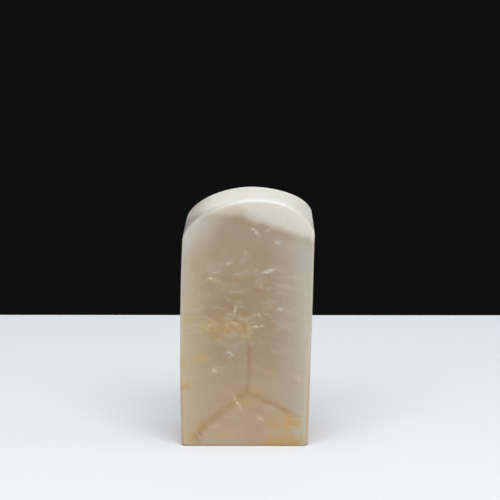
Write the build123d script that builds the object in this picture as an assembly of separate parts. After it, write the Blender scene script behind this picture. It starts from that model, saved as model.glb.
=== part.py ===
"""A stone seal stamp: one block of translucent soapstone, ground and polished by hand, that stands on its seal face.

Sizes are millimetres. The origin is the middle of the seal face, +Z is up, and the front looks towards -Y.
The real stamp is one piece of stone, so the model is one solid: a square column with bowed sides, a domed
top and eased edges, whose seal face is cut in relief underneath.
"""

from build123d import *

import os

# Seal face, the square end that prints
face_width = 24.0
face_depth = 24.0
rim_bevel = 0.25

# Column. Seen from the front, the left side bows out and comes back in, and the right side leans out
stone_height = 47.3
left_side_bow = 0.47
left_top_inset = 0.36
right_side_bow = 0.07
right_top_overhang = 1.37

# Dome. It is ground fuller at the back than at the front, so each end has an arch of its own: its top lies to
# the right of the middle, and it drops from there to the left and the right side
front_top_offset = 2.4
front_left_drop = 6.6
front_right_drop = 5.2
back_top_offset = 1.3
back_left_drop = 4.8
back_right_drop = 3.9
left_shoulder_radius = 6.4
right_shoulder_radius = 5.1

# Radius that polishing leaves along every edge above the seal face
polished_edge_radius = 0.6

# How far a shape that trims the block runs past it
trim_overrun = 3.0

# Relief of the seal face: a border round a middle stem, with two square spirals on each side of the stem
relief_depth = 0.9
border_width = 1.3
line_width = 0.95
wall_draft_angle = 12.0

# Corners of one spiral, as line counts: columns from the stem outwards, rows from the middle of the face outwards
spiral_corners = [(0, 0), (5, 0), (5, 4), (1, 4), (1, 1), (4, 1), (4, 3), (2, 3), (2, 2), (3, 2)]
last_column = max(column for column, row in spiral_corners)
last_row = max(row for column, row in spiral_corners)


def column():
    """The block before its dome is ground: flat front and back, and two sides that are gentle arcs."""
    foot_left = (-face_width / 2, 0)
    foot_right = (face_width / 2, 0)
    top_left = (-face_width / 2 + left_top_inset, stone_height)
    top_right = (face_width / 2 + right_top_overhang, stone_height)
    outline = Curve() + [
        Line(foot_left, foot_right),
        SagittaArc(top_right, foot_right, right_side_bow),
        Line(top_right, top_left),
        SagittaArc(foot_left, top_left, left_side_bow),
    ]
    return extrude(Plane.XZ * make_face(outline), face_depth / 2, both=True)


def arch(y, top_offset, left_drop, right_drop):
    """All that lies under the dome at depth y: two arcs that share their top, run on straight past the sides."""
    top = (top_offset, stone_height)
    left_arc = TangentArc(top, (-face_width / 2 + left_top_inset, stone_height - left_drop), tangent=(-1, 0))
    right_arc = TangentArc(top, (face_width / 2 + right_top_overhang, stone_height - right_drop), tangent=(1, 0))
    left_end = left_arc @ 1 + trim_overrun * (left_arc % 1)
    right_end = right_arc @ 1 + trim_overrun * (right_arc % 1)
    below_left = (left_end.X, -trim_overrun)
    below_right = (right_end.X, -trim_overrun)
    straights = Polyline(left_arc @ 1, left_end, below_left, below_right, right_end, right_arc @ 1)
    return Plane.XZ.offset(-y) * make_face(Curve() + [left_arc, right_arc, straights])


def polished_block():
    """The column with its dome, round shoulders, eased edges and bevelled foot."""
    front = arch(-face_depth / 2, front_top_offset, front_left_drop, front_right_drop)
    back = arch(face_depth / 2, back_top_offset, back_left_drop, back_right_drop)
    block = column() & loft([front, back], ruled=True)

    left_shoulder = block.faces().sort_by(Axis.X)[0].edges().sort_by(Axis.Z)[-1]
    block = fillet(left_shoulder, left_shoulder_radius)
    right_shoulder = block.faces().sort_by(Axis.X)[-1].edges().sort_by(Axis.Z)[-1]
    block = fillet(right_shoulder, right_shoulder_radius)

    end_faces = block.faces().sort_by(Axis.Y)
    end_edges = end_faces[0].edges() + end_faces[-1].edges()
    upper_edges = [edge for edge in end_edges if edge.center().Z > rim_bevel]
    block = fillet(upper_edges, polished_edge_radius)

    # The foot is bevelled as four flats, which are the chamfer of a box that clears the block everywhere else
    clear_box = Box(
        face_width + 2 * trim_overrun,
        face_depth + 2 * trim_overrun,
        stone_height + trim_overrun,
        align=(Align.CENTER, Align.CENTER, Align.MIN),
    )
    box_foot = clear_box.faces().sort_by(Axis.Z)[0]
    return block & chamfer(box_foot.edges(), rim_bevel + trim_overrun)


def raised_bar(start, end):
    """One straight run of a raised line, square at both ends."""
    length_x = abs(end[0] - start[0]) + line_width
    length_y = abs(end[1] - start[1]) + line_width
    return Pos((start[0] + end[0]) / 2, (start[1] + end[1]) / 2) * Rectangle(length_x, length_y)


def carved_ground():
    """The part of the seal face that is cut away: all inside the border but the stem and the four spirals."""
    field_width = face_width - 2 * border_width
    field_depth = face_depth - 2 * border_width
    # Lines and the gaps between them share the field equally, with a gap along the border at each end
    column_step = (field_width + line_width) / (2 * last_column + 2)
    row_step = (field_depth + line_width) / (2 * last_row + 3)
    stem_reach = row_step * (last_row + 1 / 2)
    bars = [raised_bar((0, -stem_reach), (0, stem_reach))]
    for side_x in (-1, 1):
        for side_y in (-1, 1):
            corners = [
                (side_x * column_step * column, side_y * row_step * (row + 1 / 2)) for column, row in spiral_corners
            ]
            bars += [raised_bar(start, end) for start, end in zip(corners, corners[1:])]
    return Rectangle(field_width, field_depth) - bars


def seal_stone():
    """The polished block with the ground of its relief cut away, on walls that lean for strong line roots."""
    return polished_block() - extrude(carved_ground(), relief_depth, taper=wall_draft_angle)


os.makedirs("parts", exist_ok=True)
export_step(seal_stone(), "parts/seal_stone.step")
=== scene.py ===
"""A stone seal stamp with a domed top, standing on its seal face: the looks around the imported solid.

Shapes are worked in millimetres and made metres as each mesh is finished. The front looks towards -Y.
"""

import math

import bmesh
import bpy
from mathutils import Euler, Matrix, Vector, noise


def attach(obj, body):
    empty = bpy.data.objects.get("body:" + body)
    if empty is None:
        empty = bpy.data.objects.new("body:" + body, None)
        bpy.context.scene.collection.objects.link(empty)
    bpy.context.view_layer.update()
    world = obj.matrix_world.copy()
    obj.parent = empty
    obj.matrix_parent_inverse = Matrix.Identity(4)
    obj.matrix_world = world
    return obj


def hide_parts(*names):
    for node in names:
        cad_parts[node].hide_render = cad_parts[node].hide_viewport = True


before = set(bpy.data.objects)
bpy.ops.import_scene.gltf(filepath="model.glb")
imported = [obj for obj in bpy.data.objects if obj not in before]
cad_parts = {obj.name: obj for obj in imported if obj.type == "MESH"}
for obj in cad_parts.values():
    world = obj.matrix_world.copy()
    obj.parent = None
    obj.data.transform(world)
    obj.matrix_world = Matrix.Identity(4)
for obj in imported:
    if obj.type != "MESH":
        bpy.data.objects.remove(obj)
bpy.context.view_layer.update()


# The stone is one block of translucent soapstone. It was sawn square, its dome and sides were ground by hand, its
# edges were eased and the whole was polished; then the fret was cut into its foot with a flat knife.
MM = 0.001
FACE_WIDTH = 24.0
FACE_DEPTH = 24.0
STONE_HEIGHT = 47.16
LEFT_TOP_INSET = 0.7
LEFT_SIDE_BOW = 0.55
RIGHT_TOP_OVERHANG = 1.33
RIGHT_SIDE_BOW = 0.11
EASED_EDGE = 0.85
RIM_BEVEL = 0.25

# The dome's quarters are superellipses: where the top lies, then each quarter's height, power across and power up
FRONT_TOP_X, FRONT_LEFT, FRONT_RIGHT = 2.12, (7.67, 2.01, 1.6), (6.71, 2.14, 1.8)
BACK_TOP_X, BACK_LEFT, BACK_RIGHT = 1.3, (6.5, 1.91, 1.8), (6.0, 1.77, 2.24)
FRONT_TOP_SHARE = 0.57
BACK_TOP_SHARE = 0.53

# Hand grinding leaves hollows too shallow to see, but deep enough to feel and to catch the light. None is at the foot
HOLLOW_DEPTH = 0.07
HOLLOW_WIDTH = 9.0
HOLLOWS_START = 5.0

# The fret: a border round a middle stem, with two square spirals on each side of the stem
BORDER_WIDTH = 1.3
LINE_WIDTH = 0.95
RELIEF_DEPTH = 0.9
WALL_LEAN = 12.0
SPIRAL_CORNERS = [(0, 0), (5, 0), (5, 4), (1, 4), (1, 1), (4, 1), (4, 3), (2, 3), (2, 2), (3, 2)]


def side_x(side, z):
    """Where the left (-1) or the right (1) side of the column lies at height z."""
    rise = z / STONE_HEIGHT
    crown = 1 - (2 * rise - 1) ** 2
    if side < 0:
        return -FACE_WIDTH / 2 + LEFT_TOP_INSET * rise - LEFT_SIDE_BOW * crown
    return FACE_WIDTH / 2 + RIGHT_TOP_OVERHANG * rise + RIGHT_SIDE_BOW * crown


def mix(a, b, share):
    """What lies at a share of the way from a to b."""
    return a + (b - a) * share


def arch_point(across, back_share):
    """The arch at a depth, from where it leaves the left side, at 0, over its top to the right side, at 1."""
    top_share = mix(FRONT_TOP_SHARE, BACK_TOP_SHARE, back_share)
    top_x = mix(FRONT_TOP_X, BACK_TOP_X, back_share)
    if across < top_share:
        side, turned, front, back = -1, across / top_share, FRONT_LEFT, BACK_LEFT
    else:
        side, turned, front, back = 1, (1 - across) / (1 - top_share), FRONT_RIGHT, BACK_RIGHT
    height, power_across, power_up = (mix(a, b, back_share) for a, b in zip(front, back))
    angle = math.pi / 2 * turned
    z = STONE_HEIGHT - height + height * math.sin(angle) ** (2 / power_up)
    reach = max(0.0, math.cos(angle)) ** (2 / power_across)
    return Vector((top_x + (side_x(side, z) - top_x) * reach, z))


def ground_by_hand(point):
    """Moves a point of the sawn block to its place in the ground stone, by blending the four sides of its outline."""
    across = point.x / FACE_WIDTH + 0.5
    back = point.y / FACE_DEPTH + 0.5
    up = point.z / STONE_HEIGHT
    left_end, right_end, top = arch_point(0, back), arch_point(1, back), arch_point(across, back)
    left = Vector((side_x(-1, up * left_end.y), up * left_end.y))
    right = Vector((side_x(1, up * right_end.y), up * right_end.y))
    foot = Vector((point.x, 0))
    foot_left, foot_right = Vector((-FACE_WIDTH / 2, 0)), Vector((FACE_WIDTH / 2, 0))
    corners = mix(mix(foot_left, foot_right, across), mix(left_end, right_end, across), up)
    place = mix(foot, top, up) + mix(left, right, across) - corners
    ground_in = HOLLOW_DEPTH * (0.5 + 0.5 * noise.noise(point / HOLLOW_WIDTH)) * min(1, point.z / HOLLOWS_START)
    inwards = Vector((-point.x / FACE_WIDTH, -point.y / FACE_DEPTH, -max(0.0, up - 0.5))) * 2 * ground_in
    return Vector((place.x, point.y, place.y)) + inwards


# Lines and the gaps between them share the field equally, with a gap along the border at each end
last_column = max(column for column, row in SPIRAL_CORNERS)
last_row = max(row for column, row in SPIRAL_CORNERS)
column_step = (FACE_WIDTH - 2 * BORDER_WIDTH + LINE_WIDTH) / (2 * last_column + 2)
row_step = (FACE_DEPTH - 2 * BORDER_WIDTH + LINE_WIDTH) / (2 * last_row + 3)


def cell_edges(middles, field):
    """Where the block is cut: at each side of each line of the fret, and twice more across every line and gap."""
    edges = sorted([-field, field] + [middle + side * LINE_WIDTH / 2 for middle in middles for side in (-1, 1)])
    return sorted(mix(a, b, third / 3) for a, b in zip(edges, edges[1:]) for third in range(3)) + [field]


half_field_x = FACE_WIDTH / 2 - BORDER_WIDTH
half_field_y = FACE_DEPTH / 2 - BORDER_WIDTH
cuts_x = cell_edges([column_step * k for k in range(-last_column, last_column + 1)], half_field_x)
cuts_y = cell_edges([side * row_step * (k + 0.5) for k in range(last_row + 1) for side in (-1, 1)], half_field_y)

# Rows of faces up the column. The end ones hold the relief of the seal face and the eased top of the dome
END_ROW = 1.3
ROWS = 54
cuts_z = [mix(END_ROW, STONE_HEIGHT - END_ROW, k / ROWS) for k in range(ROWS + 1)]

# How near a point is to a plane that it lies in: as a cut is made, and as faces are told apart
CUT_CLOSE = 1e-5
CLOSE = 1e-3


def on_foot(item):
    """Whether all of an edge or a face lies in the plane of the seal face."""
    return all(v.co.z < CLOSE for v in item.verts)


# The sawn block is cut into cells
bm = bmesh.new()
bmesh.ops.create_cube(bm, size=1)
bmesh.ops.translate(bm, vec=(0, 0, 0.5), verts=bm.verts)
bmesh.ops.scale(bm, vec=(FACE_WIDTH, FACE_DEPTH, STONE_HEIGHT), verts=bm.verts)
for axis, cuts in enumerate((cuts_x, cuts_y, cuts_z)):
    along = Vector([float(k == axis) for k in range(3)])
    for cut in cuts:
        geometry = bm.verts[:] + bm.edges[:] + bm.faces[:]
        bmesh.ops.bisect_plane(bm, geom=geometry, dist=CUT_CLOSE, plane_co=along * cut, plane_no=along)

# Its arrises round the front and the back are eased, all but those of the foot, and then it is ground
bm.normal_update()
arrises = [
    edge for edge in bm.edges
    if edge.calc_face_angle() > math.pi / 4
    and all(abs(abs(v.co.y) - FACE_DEPTH / 2) < CLOSE for v in edge.verts)
    and not on_foot(edge)
]
bmesh.ops.bevel(bm, geom=arrises, offset=EASED_EDGE, affect="EDGES", segments=5, profile=0.5, material=-1)
for vert in bm.verts:
    vert.co = ground_by_hand(vert.co)


def foot_outline():
    """The edges at which the faces in the plane of the seal face end."""
    return [edge for edge in bm.edges if on_foot(edge) and sum(on_foot(face) for face in edge.link_faces) == 1]


bm.normal_update()
bmesh.ops.bevel(bm, geom=foot_outline(), offset=RIM_BEVEL, affect="EDGES", segments=3, profile=0.5, material=-1)
rim_verts = {v for edge in foot_outline() for v in edge.verts}

# The raised lines, each as the corners of a rectangle
stem_reach = row_step * (last_row + 0.5)
runs = [((0, -stem_reach), (0, stem_reach))]
for turn_x in (-1, 1):
    for turn_y in (-1, 1):
        corners = [(turn_x * column_step * column, turn_y * row_step * (row + 0.5)) for column, row in SPIRAL_CORNERS]
        runs += zip(corners, corners[1:])


def is_cut_away(face):
    """Whether a face of the foot is part of the ground: inside the border and on no raised line."""
    middle = face.calc_center_median()
    if not on_foot(face) or abs(middle.x) > half_field_x or abs(middle.y) > half_field_y:
        return False
    half = LINE_WIDTH / 2
    return not any(
        min(a[0], b[0]) - half < middle.x < max(a[0], b[0]) + half
        and min(a[1], b[1]) - half < middle.y < max(a[1], b[1]) + half
        for a, b in runs
    )


# A knife follows its drawn line to within a few hundredths of a millimetre, and its strokes leave the ground uneven.
# Blender seeds its noise vectors from the clock, so they are seeded here to be the same each run
KNIFE_WANDER = 0.06
WANDERS_PER_MM = 0.9
STROKE_DEPTH = 0.1
STROKE_WIDTH = 0.7
WANDER_SEED = 1
noise.seed_set(WANDER_SEED)
ground = [face for face in bm.faces if is_cut_away(face)]
for vert in {v for face in ground for v in face.verts}:
    wander = noise.noise_vector(vert.co * WANDERS_PER_MM)
    vert.co += Vector((wander.x, wander.y, 0)) * KNIFE_WANDER
wall_run = RELIEF_DEPTH * math.tan(math.radians(WALL_LEAN))
bmesh.ops.inset_region(
    bm, faces=ground, thickness=wall_run, depth=-RELIEF_DEPTH, use_even_offset=True, use_boundary=True
)
for vert in {v for face in ground for v in face.verts}:
    vert.co.z -= STROKE_DEPTH * (0.5 + 0.5 * noise.noise(vert.co / STROKE_WIDTH))

# Printing and cleaning wear the crests of the raised lines round
CREST_WEAR = 0.07
bm.normal_update()
crests = [edge for edge in foot_outline() if not all(v in rim_verts for v in edge.verts)]
bmesh.ops.bevel(bm, geom=crests, offset=CREST_WEAR, affect="EDGES", segments=2, profile=0.5, material=-1)

# The front left corner of the foot is knocked, and small nicks follow the rim and the lines. A nick starts where the
# noise passes one level, and has its whole depth a little above it
KNOCKED_CORNER = Vector((-FACE_WIDTH / 2, -FACE_DEPTH / 2))
KNOCK_REACH = 3.4
KNOCK_DEPTH = 0.22
KNOCK_FADE = 1.3
NICK_DEPTH = 0.1
NICK_WIDTH = 0.8
NICKS_ABOVE = 0.45
NICKS_WHOLE = 0.2
for vert in bm.verts:
    if vert.co.z < END_ROW - CLOSE:
        knocked = max(0.0, 1 - (vert.co.xy - KNOCKED_CORNER).length / KNOCK_REACH)
        nicked = max(0.0, noise.noise(vert.co / NICK_WIDTH) - NICKS_ABOVE) / NICKS_WHOLE
        raised = KNOCK_DEPTH * knocked ** KNOCK_FADE + NICK_DEPTH * min(1, nicked)
        vert.co.z += raised * max(0, 1 - vert.co.z / (RELIEF_DEPTH - STROKE_DEPTH))

# A grain has fallen out low on the front face, and left a round pit
PIT = Vector((-8.45, 1.95))
PIT_RADIUS = 0.42
PIT_DEPTH = 0.3
FACES_FRONT = -0.99
round_pit = [
    face for face in bm.faces
    if face.normal.y < FACES_FRONT and (face.calc_center_median().xz - PIT).length < 2 * PIT_RADIUS
]
pit_edges = list({edge for face in round_pit for edge in face.edges})
bmesh.ops.subdivide_edges(bm, edges=pit_edges, cuts=3, use_grid_fill=True)
for vert in bm.verts:
    from_pit = (vert.co.xz - PIT).length / PIT_RADIUS
    if vert.co.y < -FACE_DEPTH / 2 + EASED_EDGE / 2 and from_pit < 1:
        vert.co.y += PIT_DEPTH * (1 - from_pit ** 2)

# Polished faces shade smooth, and the knife's cuts stay crisp
CRISP_ANGLE = math.radians(40)
for face in bm.faces:
    face.smooth = True
bm.normal_update()
for edge in bm.edges:
    edge.smooth = edge.calc_face_angle(0) < CRISP_ANGLE
bmesh.ops.scale(bm, vec=(MM, MM, MM), verts=bm.verts)

stone_mesh = bpy.data.meshes.new("seal_stone_looks")
bm.to_mesh(stone_mesh)
bm.free()
stone = bpy.data.objects.new("seal_stone_looks", stone_mesh)
bpy.context.scene.collection.objects.link(stone)


def colour(hex_value):
    """An sRGB hex colour as the linear colour that nodes take."""
    parts = [int(hex_value[k:k + 2], 16) / 255 for k in (0, 2, 4)]
    return [part / 12.92 if part <= 0.04045 else ((part + 0.055) / 1.055) ** 2.4 for part in parts] + [1.0]


def add(tree, kind, inputs=(), **settings):
    """Adds a node with its settings. An input is a value, or the output or the node that it is linked from."""
    made = tree.nodes.new("ShaderNode" + kind)
    for name, value in settings.items():
        setattr(made, name, value)
    for key, value in dict(inputs).items():
        named = [socket for socket in made.inputs if socket.enabled and socket.name == key]
        socket = named[0] if named else made.inputs[key]
        if isinstance(value, bpy.types.Node):
            value = next(output for output in value.outputs if output.enabled)
        if isinstance(value, bpy.types.NodeSocket):
            tree.links.new(value, socket)
        else:
            socket.default_value = value
    return made


# Polished translucent soapstone, ground wet and rubbed with wax: the gloss is satin and a little smudged, light sinks
# in by a few millimetres, and milky beds, iron-stained veins and flecks show at and just under the surface
soapstone = bpy.data.materials.new("polished_translucent_soapstone")
soapstone.use_nodes = True
tree = soapstone.node_tree
shader = tree.nodes["Principled BSDF"]
EASED = {"interpolation_type": "SMOOTHSTEP"}
TIMES = {"operation": "MULTIPLY"}
TIMES_PLUS = {"operation": "MULTIPLY_ADD"}
LARGER = {"operation": "MAXIMUM"}
SMALLER = {"operation": "MINIMUM"}

spot = add(tree, "VectorMath", {0: add(tree, "TexCoord").outputs["Object"], "Scale": 1 / MM}, operation="SCALE")
x, y, z = add(tree, "SeparateXYZ", {"Vector": spot}).outputs
off_x = add(tree, "Math", {0: x}, operation="ABSOLUTE")
off_y = add(tree, "Math", {0: y}, operation="ABSOLUTE")

# Every mineral form wanders from its plain shape, in folds about 8 mm, ripples about 1.5 mm and crumbs about 0.5 mm
# across
folds = add(tree, "TexNoise", {"Vector": spot, "Scale": 1 / 8, "Detail": 2.0})
ripples = add(tree, "TexNoise", {"Vector": spot, "Scale": 1 / 1.5, "Detail": 4.0})
crumbs = add(tree, "TexNoise", {"Vector": spot, "Scale": 1 / 0.5, "Detail": 2.0})
fold = add(tree, "VectorMath", {0: folds.outputs["Color"], 1: (0.5, 0.5, 0.5)}, operation="SUBTRACT")
ripple = add(tree, "VectorMath", {0: ripples.outputs["Color"], 1: (0.5, 0.5, 0.5)}, operation="SUBTRACT")
crumb = add(tree, "VectorMath", {0: crumbs.outputs["Color"], 1: (0.5, 0.5, 0.5)}, operation="SUBTRACT")
rippled = add(tree, "VectorMath", {0: ripple, 1: (0.9, 0.9, 0.9), 2: spot}, **TIMES_PLUS)
crumbled = add(tree, "VectorMath", {0: crumb, 1: (0.5, 0.5, 0.5), 2: rippled}, **TIMES_PLUS)
torn = add(tree, "VectorMath", {0: ripple, 1: (2.0, 2.0, 1.2), 2: crumbled}, **TIMES_PLUS)

# Beds and streaks lie almost level and fall a little to the right
BED_FALL = math.radians(7)
fold_x, fold_y, fold_z = add(tree, "SeparateXYZ", {"Vector": fold}).outputs
bedded = add(tree, "VectorMath", {0: fold, 1: (2.0, 2.0, 3.5), 2: spot}, **TIMES_PLUS)


def along_beds(field, sizes, detail, roughness):
    """Noise that lies along the beds, with forms of about these sizes across, from front to back and up."""
    bed = {"Rotation": (0, BED_FALL, 0), "Scale": sizes}
    turned = add(tree, "Mapping", {"Vector": field, **bed}, vector_type="TEXTURE")
    return add(tree, "TexNoise", {"Vector": turned, "Scale": 1.0, "Detail": detail, "Roughness": roughness})


def lay(under, minerals):
    """The stone's colour once minerals lie over it, each given as its share of the stone at a spot and its colour."""
    for share, hex_value in minerals:
        laid = add(tree, "Mix", {"Factor": share, "A": under, "B": colour(hex_value)}, data_type="RGBA")
        under = laid.outputs["Result"]
    return under


def gather(field, forms, half_depth, swollen=1.0):
    """The strongest of several lenses of one mineral at the front face, each 1 in its middle and 0 at its rim.

    A form is x, z, half length, half width, slant in degrees, which lifts its right end, and strength. All reach in
    from the front by the half depth, and are swollen as their rims fade.
    """
    strongest = 0.0
    for x_mid, z_mid, half_length, half_width, slant, strength in forms:
        place = {"Location": (x_mid, -FACE_DEPTH / 2, z_mid), "Rotation": (0, -math.radians(slant), 0)}
        size = {"Scale": (swollen * half_length, half_depth, swollen * half_width)}
        turned = add(tree, "Mapping", {"Vector": field, **place, **size}, vector_type="TEXTURE")
        lens = add(tree, "TexGradient", {"Vector": turned}, gradient_type="SPHERICAL").outputs["Fac"]
        lens = add(tree, "Math", {0: lens, 1: strength}, **TIMES)
        strongest = add(tree, "Math", {0: strongest, 1: lens}, **LARGER)
    return strongest


# The body is tan in its thick middle, greyer near the top and rosier low down
stone_colour = colour("a0896e")
high = add(tree, "Math", {0: fold_z, 1: 6.0, 2: z}, **TIMES_PLUS)
stone_colour = lay(stone_colour, [
    (add(tree, "MapRange", {"Value": high, "From Min": 30, "From Max": 40, "To Max": 0.6}, **EASED), "a3917c"),
    (add(tree, "MapRange", {"Value": high, "From Min": 21, "From Max": 8}, **EASED), "ae9579"),
    (add(tree, "MapRange", {"Value": z, "From Min": 9, "From Max": 0}, **EASED), "b39a7e"),
])

# It clouds over, a few millimetres at a time, between warm brown and cool grey
BROWN_CLOUDS = [(-2.5, 25.0, 9.0, 5.0, 0, 0.7), (-1.8, 24.2, 3.6, 3.0, 0, 1.0), (2.5, 30.5, 4.0, 4.0, 0, 0.6)]
bank = along_beds(bedded, (5.0, 5.0, 2.4), 5.0, 0.6)
bands = add(tree, "MapRange", {"Value": z, "From Min": 12, "From Max": 22, "To Min": 0.4}, **EASED)
bands_end = add(tree, "MapRange", {"Value": z, "From Min": 40, "From Max": 31, "To Min": 0.1}, **EASED)
busy = add(tree, "Math", {0: bands, 1: bands_end}, **TIMES)
warm = add(tree, "MapRange", {"Value": bank, "From Min": 0.5, "From Max": 0.72, "To Max": 0.5}, **EASED)
cool = add(tree, "MapRange", {"Value": bank, "From Min": 0.48, "From Max": 0.3, "To Max": 0.5}, **EASED)
stone_colour = lay(stone_colour, [
    (add(tree, "Math", {0: warm, 1: busy}, **TIMES), "98784f"),
    (gather(rippled, BROWN_CLOUDS, 9.0), "96794f"),
    (add(tree, "Math", {0: cool, 1: busy}, **TIMES), "b0a596"),
])

# Painted glow: the stone is painted paler where it thins towards its edges, for light that enters its sides and
# leaves near them: beige on the left, grey on the right, and milky at the left shoulder. The outermost millimetre of
# the left side is painted darker again
from_edges = add(tree, "Math", {0: off_x, 1: off_y}, **SMALLER)
wide = add(tree, "Math", {0: fold_x, 1: 4.0, 2: from_edges}, **TIMES_PLUS)
left_half = add(tree, "MapRange", {"Value": x, "From Min": 2, "From Max": -2}, **EASED)
right_half = add(tree, "MapRange", {"Value": x, "From Min": -1, "From Max": 3}, **EASED)
pale_glow = add(tree, "MapRange", {"Value": wide, "From Min": 3.5, "From Max": 10.5, "To Max": 0.85}, **EASED)
thin_edge_glow = add(tree, "MapRange", {"Value": wide, "From Min": 8.5, "From Max": 12.5}, **EASED)
upper = add(tree, "MapRange", {"Value": high, "From Min": 20, "From Max": 38}, **EASED)
grey_glow = add(tree, "Math", {0: thin_edge_glow, 1: upper}, **TIMES)
towards_shoulder = add(tree, "Math", {0: x, 1: -1.1, 2: high}, **TIMES_PLUS)
left_rim = add(tree, "MapRange", {"Value": x, "From Min": -10.4, "From Max": -12.2, "To Max": 0.5}, **EASED)
stone_colour = lay(stone_colour, [
    (add(tree, "Math", {0: pale_glow, 1: left_half}, **TIMES), "b19e82"),
    (add(tree, "Math", {0: thin_edge_glow, 1: left_half}, **TIMES), "b9a789"),
    (add(tree, "Math", {0: pale_glow, 1: right_half}, **TIMES), "aca091"),
    (add(tree, "Math", {0: thin_edge_glow, 1: right_half}, **TIMES), "b7ae9c"),
    (add(tree, "Math", {0: grey_glow, 1: 0.75}, **TIMES), "abaa9d"),
    (add(tree, "MapRange", {"Value": towards_shoulder, "From Min": 44.5, "From Max": 53}, **EASED), "bab7ad"),
    (add(tree, "Math", {0: left_rim, 1: upper}, **TIMES), "a19d91"),
])

# Iron stains it ochre, in clouds and torn streaks that thin out unevenly. More are scattered away from the front
STAINS = [
    (-6.0, 22.6, 9.5, 3.6, 3, 0.5), (-10.3, 24.2, 1.8, 1.3, 0, 0.6), (-12.0, 23.2, 1.4, 2.0, 0, 0.4),
    (-10.9, 21.8, 2.6, 1.5, 0, 0.45), (-5.1, 20.6, 1.3, 0.7, 0, 0.6), (-1.0, 22.7, 1.3, 0.9, 0, 0.7),
    (0.1, 23.0, 1.4, 1.4, 0, 0.85), (0.2, 21.1, 1.4, 0.9, 0, 0.7), (-7.9, 16.9, 2.2, 0.85, 4, 0.9),
    (-8.9, 16.3, 1.5, 0.7, 0, 0.5), (-12.0, 16.2, 1.0, 1.5, 0, 0.6), (-11.5, 11.3, 1.8, 0.9, 0, 0.75),
    (4.3, 14.4, 2.0, 0.6, -12, 0.4), (2.2, 10.8, 2.6, 0.8, -10, 0.5), (8.8, 4.7, 2.4, 1.5, 8, 1.2),
    (5.5, 4.5, 1.8, 0.8, 0, 0.7), (7.1, 3.7, 2.6, 1.0, -14, 0.85), (8.0, 5.4, 4.6, 2.6, -20, 0.55),
    (4.3, 1.2, 2.3, 0.9, -10, 0.6), (7.3, 0.6, 4.6, 2.0, 0, 1.2), (10.6, 12.8, 1.6, 1.3, 0, 0.3),
    (-8.8, 3.5, 1.8, 1.8, 30, 0.5), (-9.5, 1.7, 2.0, 1.8, 0, 0.55), (-3.0, 2.2, 6.0, 1.5, 8, 0.35),
    (0.0, 8.5, 5.0, 3.0, 0, 0.4),
]
off_front = add(tree, "MapRange", {"Value": y, "From Min": -9.0, "From Max": -3.0}, **EASED)
patches = add(tree, "TexNoise", {"Vector": torn, "Scale": 1 / 1.6, "Detail": 4.0, "Roughness": 0.65})
scattered = add(tree, "VectorMath", {0: torn, 1: (1 / 7, 1 / 7, 1 / 3)}, **TIMES)
scattered = add(tree, "TexNoise", {"Vector": scattered, "Scale": 1.0, "Detail": 3.0})
scattered = add(tree, "MapRange", {"Value": scattered, "From Min": 0.54, "From Max": 0.78, "To Max": 0.7}, **EASED)
scattered = add(tree, "Math", {0: scattered, 1: off_front}, **TIMES)
stain = add(tree, "Math", {0: gather(torn, STAINS, 9.0, 1.25), 1: scattered}, **LARGER)
tufts = along_beds(rippled, (1.7, 1.7, 0.55), 4.0, 0.6)
patchy = add(tree, "MapRange", {"Value": tufts, "From Min": 0.32, "From Max": 0.62, "To Min": 0.3}, **EASED)
stain = add(tree, "Math", {0: stain, 1: patchy}, **TIMES)
stone_colour = lay(stone_colour, [
    (add(tree, "MapRange", {"Value": stain, "From Max": 0.5, "To Max": 0.6}, **EASED), "b69c69"),
    (add(tree, "MapRange", {"Value": stain, "From Min": 0.2, "From Max": 0.75, "To Max": 0.65}, **EASED), "be964a"),
])

# A crack forked and healed with iron stain in it: a faint rosy stem, and a soft brown branch down to each side
STEM = [(-0.2, 24.5), (0.0, 21.5), (0.75, 19.5), (1.0, 16.5), (0.9, 13.0), (0.25, 10.4)]
LEFT_BRANCH = [(0.25, 10.4), (-1.1, 9.0), (-3.4, 7.2), (-6.6, 4.8), (-8.2, 3.1), (-9.2, 1.4)]
RIGHT_BRANCH = [(0.25, 10.4), (3.4, 8.8), (6.1, 7.8), (9.2, 6.0), (11.6, 5.2)]


def healed_crack(line):
    """Distance to a crack that runs through the stone from front to back, on a line of straight lengths."""
    nearest_yet = STONE_HEIGHT
    for start, end in zip(line, line[1:]):
        run = Vector(end) - Vector(start)
        turn = -math.atan2(run.y, run.x)
        place = {"Location": (start[0], 0, start[1]), "Rotation": (0, turn, 0), "Scale": (1, 1e6, 1)}
        turned = add(tree, "Mapping", {"Vector": rippled, **place}, vector_type="TEXTURE")
        nearest = add(tree, "VectorMath", {0: turned, 1: (0, 0, 0)}, **LARGER)
        nearest = add(tree, "VectorMath", {0: nearest, 1: (run.length, 0, 0)}, **SMALLER)
        gap = add(tree, "VectorMath", {0: turned, 1: nearest}, operation="DISTANCE").outputs["Value"]
        nearest_yet = add(tree, "Math", {0: nearest_yet, 1: gap}, **SMALLER)
    return nearest_yet


uneven = add(tree, "MapRange", {"Value": patches, "From Min": 0.35, "From Max": 0.6, "To Min": 0.35}, **EASED)
stem = add(tree, "MapRange", {"Value": healed_crack(STEM), "From Min": 0.7, "From Max": 0, "To Max": 0.6}, **EASED)
branch = add(tree, "MapRange", {"Value": healed_crack(RIGHT_BRANCH), "From Min": 0.75, "From Max": 0.1}, **EASED)
fading = add(tree, "MapRange", {"Value": x, "From Min": 12.0, "From Max": 6.5}, **EASED)
branch = add(tree, "Math", {0: branch, 1: fading}, **TIMES)
left_branch = add(tree, "MapRange", {"Value": healed_crack(LEFT_BRANCH), "From Min": 1.2, "From Max": 0.1}, **EASED)
branch = add(tree, "Math", {0: left_branch, 1: branch}, **LARGER)
branch = add(tree, "Math", {0: branch, 1: uneven}, **TIMES)
stone_colour = lay(stone_colour, [
    (add(tree, "Math", {0: stem, 1: uneven}, **TIMES), "98704e"),
    (add(tree, "Math", {0: branch, 1: 0.62}, **TIMES), "a17b43"),
])

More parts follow.
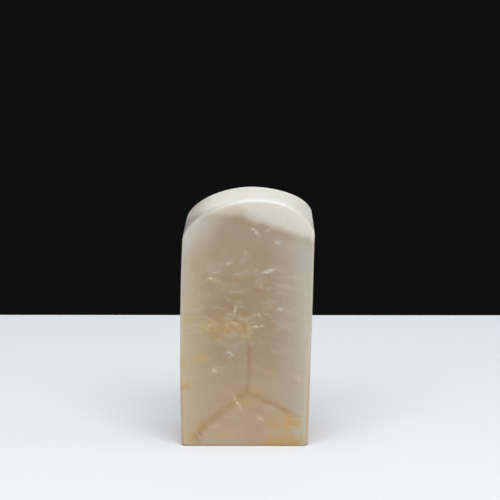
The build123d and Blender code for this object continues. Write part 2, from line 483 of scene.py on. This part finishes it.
# Milky wisps: wide soft streaks, and thin ones in them, that gather from half way up to the cap
wisps = along_beds(bedded, (4.4, 4.4, 1.2), 5.0, 0.62)
streaks = along_beds(bedded, (1.7, 1.7, 0.3), 4.0, 0.6)
above = add(tree, "MapRange", {"Value": z, "From Min": 17, "From Max": 24}, **EASED)
below = add(tree, "MapRange", {"Value": z, "From Min": 38, "From Max": 32}, **EASED)
zone = add(tree, "Math", {0: above, 1: below}, **TIMES)
wisp = add(tree, "MapRange", {"Value": wisps, "From Min": 0.5, "From Max": 0.7, "To Max": 0.5}, **EASED)
wisp = add(tree, "Math", {0: wisp, 1: zone}, **TIMES)
gathered = add(tree, "MapRange", {"Value": wisps, "From Min": 0.42, "From Max": 0.6}, **EASED)
streak = add(tree, "MapRange", {"Value": streaks, "From Min": 0.55, "From Max": 0.75, "To Max": 0.6}, **EASED)
streak = add(tree, "Math", {0: streak, 1: gathered}, **TIMES)
streak = add(tree, "Math", {0: streak, 1: zone}, **TIMES)
stone_colour = lay(stone_colour, [(wisp, "b7ab9b"), (streak, "c3b8a7")])

# The milky cap is a second bed of the stone. It steps down near its middle, dips from there to the right and towards
# the back, climbs at the left end, wanders by its folds and ripples, and has a thin brown seam under it
LEVEL = 43.4
STEP = 0.65
DIP_START = 0.7
DIP_RIGHT = 0.34
DIP_BACK = 0.45
CAP_FOLDS = 2.0
CAP_RIPPLES = 1.2
stepped = add(tree, "MapRange", {"Value": x, "From Min": -1.8, "From Max": 1.8, "To Max": STEP}, **EASED)
dipped = add(tree, "Math", {0: x, 1: DIP_START}, **LARGER)
dipped = add(tree, "Math", {0: dipped, 1: DIP_RIGHT, 2: z}, **TIMES_PLUS)
dipped = add(tree, "Math", {0: y, 1: DIP_BACK, 2: dipped}, **TIMES_PLUS)
dipped = add(tree, "Math", {0: dipped, 1: stepped}, operation="ADD")
climbed = add(tree, "MapRange", {"Value": x, "From Min": -7.0, "From Max": -11.5, "To Max": -2.2}, **EASED)
dipped = add(tree, "Math", {0: dipped, 1: climbed}, operation="ADD")
dipped = add(tree, "Math", {0: fold_y, 1: CAP_FOLDS, 2: dipped}, **TIMES_PLUS)
dipped = add(tree, "Math", {0: ripples, 1: CAP_RIPPLES, 2: dipped}, **TIMES_PLUS)
bed = LEVEL + DIP_START * DIP_RIGHT - DIP_BACK * FACE_DEPTH / 2 + CAP_RIPPLES / 2
milky_side = add(tree, "MapRange", {"Value": x, "From Min": -1.0, "From Max": 11.0}, **EASED)
milk = add(tree, "MapRange", {"Value": dipped, "From Min": bed, "From Max": bed + 2.2, "To Max": 0.85}, **EASED)
seam = add(tree, "MapRange", {"Value": dipped, "From Min": bed - 2.0, "From Max": bed, "To Max": 0.2}, **EASED)
haze = add(tree, "MapRange", {"Value": dipped, "From Min": bed, "From Max": bed + 1.4, "To Max": 0.7}, **EASED)
cap = add(tree, "MapRange", {"Value": dipped, "From Min": bed + 0.6, "From Max": bed + 3.4}, **EASED)
stone_colour = lay(stone_colour, [
    (seam, "9c8263"),
    (haze, "c6bcab"),
    (cap, "d0c9bc"),
    (add(tree, "Math", {0: milk, 1: milky_side}, **TIMES), "cfcbc0"),
])

# The dome is painted whitest: partly the milky cap itself, and partly painted light, whiter where it faces up and
# from its eased edges inwards, with painted shade at its left end
normal = add(tree, "SeparateXYZ", {"Vector": add(tree, "TexCoord").outputs["Normal"]})
inwards = {"From Min": FACE_DEPTH / 2 - 0.3, "From Max": FACE_DEPTH / 2 - 1.5}
inwards = add(tree, "MapRange", {"Value": off_y, **inwards})
faces_up = add(tree, "MapRange", {"Value": normal.outputs["Z"], "From Min": -0.05, "From Max": 0.25})
on_dome = add(tree, "Math", {0: inwards, 1: faces_up}, **TIMES)
high_up = add(tree, "MapRange", {"Value": dipped, "From Min": bed, "From Max": bed + 3.0}, **EASED)
# Painted shade: the whitening of the dome falls to a tenth towards its left end
left_end = add(tree, "MapRange", {"Value": x, "From Min": -10.5, "From Max": -5.0, "To Min": 0.1}, **EASED)
milky_and_lit_dome = add(tree, "Math", {0: high_up, 1: on_dome}, **TIMES)
milky_and_lit_dome = add(tree, "Math", {0: milky_and_lit_dome, 1: left_end}, **TIMES)
tan_and_lit_dome = add(tree, "Math", {0: milky_and_lit_dome, 1: cool}, **TIMES)
stone_colour = lay(stone_colour, [(milky_and_lit_dome, "fbf5e6"), (tan_and_lit_dome, "f0e9da")])

# Flecks of clear mineral, each a bright core in a faint halo: bluish white ones, and cream ones stained by iron. More
# are scattered away from the front
WHITE_FLECKS = [
    (1.7, 41.35, 0.7, 0.25, -8, 0.8), (4.5, 41.2, 0.8, 0.25, 22, 0.65), (2.4, 40.7, 0.8, 0.28, -48, 1.0),
    (6.3, 38.7, 0.6, 0.4, 0, 0.8), (-3.05, 34.8, 0.7, 0.45, 25, 0.7), (0.0, 35.6, 1.3, 0.7, 60, 0.3),
    (4.6, 33.5, 1.2, 0.32, 22, 1.0), (4.9, 33.6, 0.45, 0.35, 22, 1.0), (-1.75, 26.2, 1.1, 0.4, 76, 0.75),
    (-2.7, 25.1, 0.9, 0.4, 30, 0.5), (2.8, 24.9, 1.1, 0.5, -40, 0.5), (6.8, 26.1, 0.6, 0.35, -10, 0.9),
    (8.4, 25.6, 1.8, 0.3, -14, 0.4), (10.5, 26.6, 1.1, 0.6, 20, 0.45), (-2.6, 17.7, 0.9, 0.3, -45, 0.9),
    (-2.7, 17.6, 1.2, 1.0, 0, 0.45), (4.3, 7.4, 2.2, 0.35, -15, 0.45), (9.5, 32.3, 2.4, 0.3, 2, 0.5),
    (11.8, 29.1, 2.0, 0.35, -20, 0.55), (3.2, 19.8, 2.2, 0.3, 0, 0.4), (-9.7, 13.2, 1.9, 0.2, 3, 0.4),
    # The fleck at -8.45, 1.95 sits in the pit: it is a painted glint, the bright spot that the pit catches
    (-3.1, 5.6, 1.5, 0.25, -15, 0.4), (11.1, 5.4, 0.35, 0.25, 0, 0.7), (-8.45, 1.95, 0.3, 0.3, 0, 1.0),
    (6.0, 30.9, 2.2, 0.3, -12, 0.4),
]
CREAM_FLECKS = [
    (0.25, 37.0, 0.7, 0.3, -30, 0.55), (-3.9, 36.9, 1.2, 0.6, 15, 0.3), (-6.6, 31.9, 0.8, 0.35, 15, 0.75),
    (-2.7, 31.0, 1.0, 0.25, 0, 0.4), (2.6, 22.9, 1.0, 0.22, 6, 1.0), (1.2, 21.9, 0.6, 0.8, 0, 0.5),
    (-1.8, 23.4, 1.0, 0.35, -22, 0.7), (-3.3, 23.5, 0.5, 0.8, 0, 0.4), (-6.4, 23.0, 1.5, 0.35, 10, 0.6),
    (-7.0, 22.3, 0.7, 0.3, -30, 0.6), (-5.5, 14.6, 1.1, 0.9, 40, 0.6), (-5.75, 14.3, 0.7, 0.35, 10, 0.9),
    (-1.25, 8.1, 1.8, 0.3, -62, 0.8), (2.85, 5.4, 0.7, 0.35, -30, 0.8), (-2.8, 3.0, 0.8, 0.45, -20, 0.5),
    (-5.4, 3.7, 1.3, 0.35, 20, 0.5), (10.3, 13.0, 1.2, 1.0, 0, 0.6), (8.6, 42.6, 1.0, 0.5, -30, 0.5),
    (2.6, 14.9, 1.6, 0.3, -22, 0.35), (-4.6, 30.3, 1.6, 0.3, -8, 0.4),
]
specks = add(tree, "VectorMath", {0: crumbled, 1: (1 / 6, 1 / 6, 1 / 2.5)}, **TIMES)
specks = add(tree, "TexVoronoi", {"Vector": specks, "Scale": 1.0})
specks = add(tree, "MapRange", {"Value": specks, "From Min": 0.16, "From Max": 0.03}, **EASED)
specks = add(tree, "Math", {0: specks, 1: off_front}, **TIMES)
under_cap = add(tree, "MapRange", {"Value": dipped, "From Min": bed, "From Max": bed - 1.0})
specks = add(tree, "Math", {0: specks, 1: under_cap}, **TIMES)
broken = add(tree, "MapRange", {"Value": crumbs, "From Min": 0.36, "From Max": 0.58, "To Min": 0.45}, **EASED)
white = add(tree, "Math", {0: gather(crumbled, WHITE_FLECKS, 3.0, 1.9), 1: specks}, **LARGER)
white = add(tree, "Math", {0: white, 1: broken}, **TIMES)
cream = add(tree, "Math", {0: gather(crumbled, CREAM_FLECKS, 3.0, 1.9), 1: broken}, **TIMES)
stone_colour = lay(stone_colour, [
    (add(tree, "MapRange", {"Value": white, "From Max": 0.6, "To Max": 0.35}, **EASED), "bdb6aa"),
    (add(tree, "MapRange", {"Value": white, "From Min": 0.3, "From Max": 0.8, "To Max": 0.6}, **EASED), "d2cec7"),
    (add(tree, "MapRange", {"Value": cream, "From Max": 0.6, "To Max": 0.35}, **EASED), "c4b190"),
    (add(tree, "MapRange", {"Value": cream, "From Min": 0.3, "From Max": 0.8, "To Max": 0.7}, **EASED), "e2d0ae"),
])

# Painted highlight along the eased edges, for the light that they catch and let out again: white at the crest of the
# dome, greyish down its ends, and a painted warm glow along the lower half of the column
CREST_X = 3.0
facing = add(tree, "Math", {0: normal.outputs["Y"]}, operation="ABSOLUTE")
outer = add(tree, "MapRange", {"Value": facing, "From Min": 1.0, "From Max": 0.9}, **EASED)
inner = add(tree, "MapRange", {"Value": facing, "From Min": 0.1, "From Max": 0.5}, **EASED)
arris_highlight = add(tree, "Math", {0: outer, 1: inner}, **TIMES)
upper_arris_highlight = add(tree, "MapRange", {"Value": z, "From Min": 34, "From Max": 40}, **EASED)
upper_arris_highlight = add(tree, "Math", {0: arris_highlight, 1: upper_arris_highlight}, **TIMES)
off_crest = add(tree, "Math", {0: x, 1: CREST_X}, operation="SUBTRACT")
off_crest = add(tree, "Math", {0: off_crest}, operation="ABSOLUTE")
crest_highlight = add(tree, "MapRange", {"Value": off_crest, "From Min": 11.0, "From Max": 2.0}, **EASED)
warm_arris_glow = add(tree, "MapRange", {"Value": z, "From Min": 22, "From Max": 8, "To Max": 0.55}, **EASED)
stone_colour = lay(stone_colour, [
    (add(tree, "Math", {0: upper_arris_highlight, 1: 0.8}, **TIMES), "abaaa1"),
    (add(tree, "Math", {0: upper_arris_highlight, 1: crest_highlight}, **TIMES), "d3d3cf"),
    (add(tree, "Math", {0: arris_highlight, 1: warm_arris_glow}, **TIMES), "b28a66"),
])

# The knife leaves the cut ground of the seal face matt and chalky
inside = add(tree, "Math", {0: off_x, 1: off_y}, **LARGER)
inside = add(tree, "MapRange", {"Value": inside, "From Min": FACE_WIDTH / 2 - 0.4, "From Max": FACE_WIDTH / 2 - 0.6})
cut = add(tree, "MapRange", {"Value": z, "From Min": RELIEF_DEPTH + 0.4, "From Max": RELIEF_DEPTH + 0.2})
cut = add(tree, "Math", {0: cut, 1: inside}, **TIMES)
stone_colour = lay(stone_colour, [(add(tree, "Math", {0: cut, 1: 0.6}, **TIMES), "d3cabb")])

# Fine grain, drawn 0.4 mm across because the real grain is too fine to show
grain = add(tree, "TexNoise", {"Vector": spot, "Scale": 1 / 0.4, "Detail": 2.0})
grain = add(tree, "MapRange", {"Value": grain, "From Min": 0.2, "From Max": 0.8, "To Min": 0.96, "To Max": 1.04})
grained = add(tree, "VectorMath", {0: stone_colour, "Scale": grain}, operation="SCALE")
tree.links.new(grained.outputs["Vector"], shader.inputs["Base Color"])

smudges = add(tree, "TexNoise", {"Vector": spot, "Scale": 1 / 6, "Detail": 4.0})
gloss = add(tree, "MapRange", {"Value": smudges, "From Min": 0.2, "From Max": 0.8, "To Min": 0.27, "To Max": 0.39})
gloss = add(tree, "Math", {0: cut, 1: 0.35, 2: gloss}, **TIMES_PLUS)
tree.links.new(gloss.outputs["Value"], shader.inputs["Roughness"])
shader.inputs["IOR"].default_value = 1.56
shader.inputs["Subsurface Weight"].default_value = 0.8
shader.inputs["Subsurface Radius"].default_value = (1.0, 0.9, 0.78)
shader.inputs["Subsurface Scale"].default_value = 2.5 * MM
stone_mesh.materials.append(soapstone)

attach(stone, "root")
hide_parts("seal_stone")


# The stage is a sheet of white card that ends behind the stone, in front of a dark room. It lies a hair below the
# foot, so that the two are never drawn in one plane.
FLOOR_BACK = 153.0
FLOOR_FRONT = 900.0
FLOOR_HALF_WIDTH = 700.0
FLOOR_GAP = 0.03
card = bmesh.new()
bmesh.ops.create_grid(card, x_segments=1, y_segments=1, size=1)
bmesh.ops.scale(card, vec=(FLOOR_HALF_WIDTH, (FLOOR_BACK + FLOOR_FRONT) / 2, 1), verts=card.verts)
bmesh.ops.translate(card, vec=(0, (FLOOR_BACK - FLOOR_FRONT) / 2, -FLOOR_GAP), verts=card.verts)
bmesh.ops.scale(card, vec=(MM, MM, MM), verts=card.verts)
floor_mesh = bpy.data.meshes.new("pale_floor")
card.to_mesh(floor_mesh)
card.free()
floor = bpy.data.objects.new("pale_floor", floor_mesh)
bpy.context.scene.collection.objects.link(floor)
white_card = bpy.data.materials.new("matt_white_card")
white_card.use_nodes = True
card_shader = white_card.node_tree.nodes["Principled BSDF"]
card_shader.inputs["Base Color"].default_value = colour("e9ebee")
card_shader.inputs["Roughness"].default_value = 0.9
card_shader.inputs["Specular IOR Level"].default_value = 0.1
floor_mesh.materials.append(white_card)

# The room: soft light from all round, while the camera and reflections see it dark
room = bpy.data.worlds.new("soft_room")
bpy.context.scene.world = room
room.use_nodes = True
room_tree = room.node_tree
path = add(room_tree, "LightPath")
seen = add(room_tree, "Math", {0: path.outputs["Is Camera Ray"], 1: path.outputs["Is Glossy Ray"]}, **LARGER)
seen = add(room_tree, "Math", {0: seen, 1: path.outputs["Is Transmission Ray"]}, **LARGER)
fill = add(room_tree, "Background", {"Color": colour("eef5ff"), "Strength": 0.34})
dark = add(room_tree, "Background", {"Color": colour("101010"), "Strength": 1.0})
room_mix = add(room_tree, "MixShader", {0: seen, 1: fill, 2: dark})
room_tree.links.new(room_mix.outputs[0], room_tree.nodes["World Output"].inputs["Surface"])


def lamp(name, place, aim, size, watts):
    """A white square softbox that the camera doesn't see. Its place, its aim and its size are millimetres."""
    data = bpy.data.lights.new(name, "AREA")
    data.shape = "SQUARE"
    data.size = size * MM
    data.energy = watts
    made = bpy.data.objects.new(name, data)
    made.location = Vector(place) * MM
    made.rotation_euler = (Vector(aim) - Vector(place)).to_track_quat("-Z", "Y").to_euler()
    made.visible_camera = False
    bpy.context.scene.collection.objects.link(made)


lamp("front_right_softbox", (200, -540, 560), (0, 0, 20), 420, 2.68)
lamp("front_left_softbox", (-200, -540, 560), (0, 0, 20), 420, 1.9)
lamp("overhead_softbox", (0, -90, 600), (0, 0, 20), 500, 0.92)
lamp("right_softbox", (520, -20, 110), (0, 0, 30), 160, 0.42)
lamp("left_softbox", (-520, -20, 110), (0, 0, 30), 160, 0.24)
lamp("back_softbox", (0, 420, 300), (0, 0, 30), 320, 0.22)

# The camera stands where the photograph was taken from, which the outline of the stone gave
camera_data = bpy.data.cameras.new("camera")
camera_data.lens = 169.3
camera_data.sensor_width = 36.0
camera = bpy.data.objects.new("camera", camera_data)
camera.location = Vector((3.81, -449.98, 91.64)) * MM
camera.rotation_euler = Euler([math.radians(turn) for turn in (82.943, 0.0, 0.363)])
bpy.context.scene.collection.objects.link(camera)
bpy.context.scene.camera = camera

bpy.context.scene.view_settings.view_transform = "Standard"
